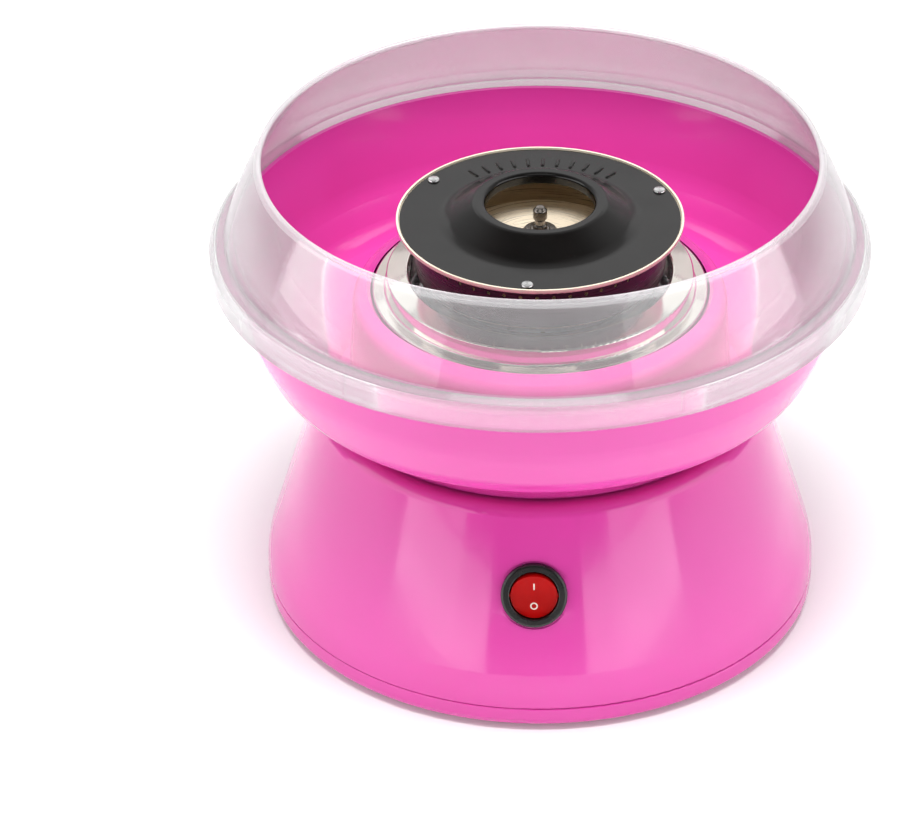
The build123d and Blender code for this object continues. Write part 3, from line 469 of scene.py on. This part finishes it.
# material slot -> (maker, its arguments after the name)
SLOT_LOOKS = {
    "pink_body": (moulded_pink, PINK_DEEP, PINK),
    "pink_bowl": (moulded_pink, PINK_DEEP, PINK),
    "clear_ring": (clear_plastic,),
    "lid_black": (black_coating,),
    "pan_steel": (head_steel,),
    "red_rocker": (red_plastic,),
    "copper": (wound_copper,),
    "iron_core": (laminated_iron,),
    "circuit_board": (circuit_board,),
    "shield_steel": (spun_steel, (0.80, 0.76, 0.68), (0.93, 0.90, 0.84), 0.04, 0.10),
    "knob_steel": (spun_steel, (0.22, 0.19, 0.17), (0.40, 0.36, 0.33), 0.16, 0.30),
    "brass": (spun_steel, (0.55, 0.36, 0.12), (0.80, 0.58, 0.25), 0.20, 0.35, 1500.0),
    "element_sheath": (plated_steel, (0.10, 0.05, 0.03), (0.26, 0.14, 0.08), 0.35, 0.60),
    "rivet_metal": (plated_steel, (0.80, 0.80, 0.80), (0.93, 0.93, 0.93), 0.18, 0.32),
    "screw_steel": (plated_steel, (0.48, 0.48, 0.49), (0.70, 0.70, 0.71)),
    "can_steel": (plated_steel, (0.42, 0.42, 0.43), (0.62, 0.62, 0.63)),
    "rubber": (dull_solid, (0.012, 0.012, 0.012), (0.026, 0.025, 0.024), 0.55, 0.80),
    "black_plastic": (dull_solid, (0.004, 0.004, 0.004), (0.010, 0.009, 0.009), 0.20, 0.32, 1200.0, 0.05),
    "ferrite": (dull_solid, (0.03, 0.03, 0.033), (0.07, 0.07, 0.075), 0.50, 0.70),
    "carbon": (dull_solid, (0.015, 0.015, 0.016), (0.045, 0.045, 0.047), 0.35, 0.60),
    "white_nylon": (dull_solid, (0.70, 0.68, 0.60), (0.84, 0.82, 0.76), 0.35, 0.50, 500.0, 0.05),
    "wire_red": (dull_solid, (0.42, 0.012, 0.012), (0.58, 0.02, 0.02), 0.35, 0.50),
    "wire_black": (dull_solid, (0.010, 0.010, 0.010), (0.025, 0.025, 0.025), 0.35, 0.50),
    "wire_white": (dull_solid, (0.62, 0.61, 0.57), (0.82, 0.81, 0.78), 0.50, 0.75, 1500.0, 0.30),
}


def paint_nodes():
    """Give every CAD node the finish of its own material slot."""
    slot_of = {part["node"]: part["material_slot"] for part in frame["record"]["subparts"]}
    looks = {slot: look[0](slot, *look[1:]) for slot, look in SLOT_LOOKS.items() if slot in slot_of.values()}
    for name, node in NODES.items():
        node.data.materials.clear()
        node.data.materials.append(looks[slot_of[name]])
    return looks


# ------------------------------------------------------------------ marks on the lid and the rocker
def new_piece(name, mesh, body, look):
    piece = bpy.data.objects.new(name, mesh)
    bpy.context.scene.collection.objects.link(piece)
    mesh.materials.append(look)
    for face in mesh.polygons:
        face.use_smooth = True
    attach(piece, body)
    return piece


def ridge(shape, path, half_width, height, sink, closed=False):
    """Low rounded ridge along a path of (point, outward, side, taper) frames, added to a bmesh."""
    across = 8
    rows = []
    for point, outward, side, taper in path:
        row = []
        for i in range(across + 1):
            angle = math.pi * i / across
            sideways = side * (-math.cos(angle) * half_width * taper)
            outwards = outward * (math.sin(angle) * height * taper)
            row.append(shape.verts.new(point + (sideways + outwards) - outward * sink))
        rows.append(row)
    pairs = list(zip(rows, rows[1:])) + ([(rows[-1], rows[0])] if closed else [])
    for a, b in pairs:
        for i in range(across):
            shape.faces.new((a[i], a[i + 1], b[i + 1], b[i]))
        shape.faces.new((a[across], a[0], b[0], b[across]))
    if not closed:
        shape.faces.new(list(reversed(rows[0])))
        shape.faces.new(rows[-1])


def finish_mesh(shape, name):
    bmesh.ops.recalc_face_normals(shape, faces=shape.faces)
    mesh = bpy.data.meshes.new(name)
    shape.to_mesh(mesh)
    shape.free()
    return mesh


def lid_dashes(look):
    """Plain embossed dashes on the lid's flat ring, at the back, where the real lid has a warning."""
    flat_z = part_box("head_pan")[1][2] - PAN_ABOVE_FLAT
    shape = bmesh.new()
    middle_r = (DASH_RING[0] + DASH_RING[1]) / 2
    for i in range(DASH_COUNT):
        angle = math.radians(DASH_FIRST_DEG + i * (DASH_LAST_DEG - DASH_FIRST_DEG) / (DASH_COUNT - 1))
        radial = Vector((math.cos(angle), math.sin(angle), 0))
        around_z = Vector((-math.sin(angle), math.cos(angle), 0))
        path = []
        for j in range(9):
            t = -1 + 2 * j / 8
            taper = math.sqrt(max(0.0, 1 - abs(t) ** 6)) * 0.999 + 0.001
            point = radial * (middle_r + t * DASH_HALF_LENGTH) + Vector((0, 0, flat_z))
            path.append((point, Vector((0, 0, 1)), around_z, taper))
        ridge(shape, path, DASH_HALF_WIDTH, DASH_HEIGHT, DASH_SINK)
    return new_piece("lid_dashes", finish_mesh(shape, "lid_dashes"), "head", look)


def rocker_frame():
    """Matrix from the rocker's own axes, with z out of its face and y towards its I side, to the world."""
    joint = next(j for j in frame["record"]["behaviour"]["joints"] if j["name"] == "rocker_tilt")
    lean = CONE_TILT - ROCKER_REST
    out = Vector((0, -math.cos(lean), math.sin(lean)))
    across = Vector((1, 0, 0))
    up = out.cross(across)
    turn = Matrix((across, up, out)).transposed().to_4x4()
    return Matrix.Translation(Vector(joint["pos_m"])) @ turn


def rocker_marks(look):
    """The I and O of the power switch, raised a little out of the rocker's thumb hollow."""
    place = rocker_frame()

    def on_face(x, y):
        z = ROCKER_MIDDLE_Z + ROCKER_HOLLOW_R - math.sqrt(ROCKER_HOLLOW_R**2 - y**2)
        point = place @ Vector((x, y, z))
        normal = (place.to_3x3() @ Vector((0, -y, math.sqrt(ROCKER_HOLLOW_R**2 - y**2)))).normalized()
        return point, normal

    shape = bmesh.new()
    stroke = []
    for j in range(7):
        t = -1 + 2 * j / 6
        point, normal = on_face(0, MARK_Y + t * BAR_HALF_LENGTH)
        stroke.append((point, normal, place.to_3x3() @ Vector((1, 0, 0)), 1.0))
    ridge(shape, stroke, MARK_HALF_WIDTH, MARK_HEIGHT, MARK_SINK)
    loop = []
    for j in range(40):
        angle = math.tau * j / 40
        x = RING_MARK_R * math.cos(angle)
        y = -MARK_Y + RING_MARK_R * math.sin(angle)
        point, normal = on_face(x, y)
        side = place.to_3x3() @ Vector((math.cos(angle), math.sin(angle), 0))
        loop.append((point, normal, side, 1.0))
    ridge(shape, loop, MARK_HALF_WIDTH, MARK_HEIGHT, MARK_SINK, closed=True)
    return new_piece("rocker_marks", finish_mesh(shape, "rocker_marks"), "rocker", look)


# ------------------------------------------------------------------ make everything
make_camera()
make_stage()
LOOKS = paint_nodes()
lid_dashes(LOOKS["lid_black"])
rocker_marks(LOOKS["white_nylon"])
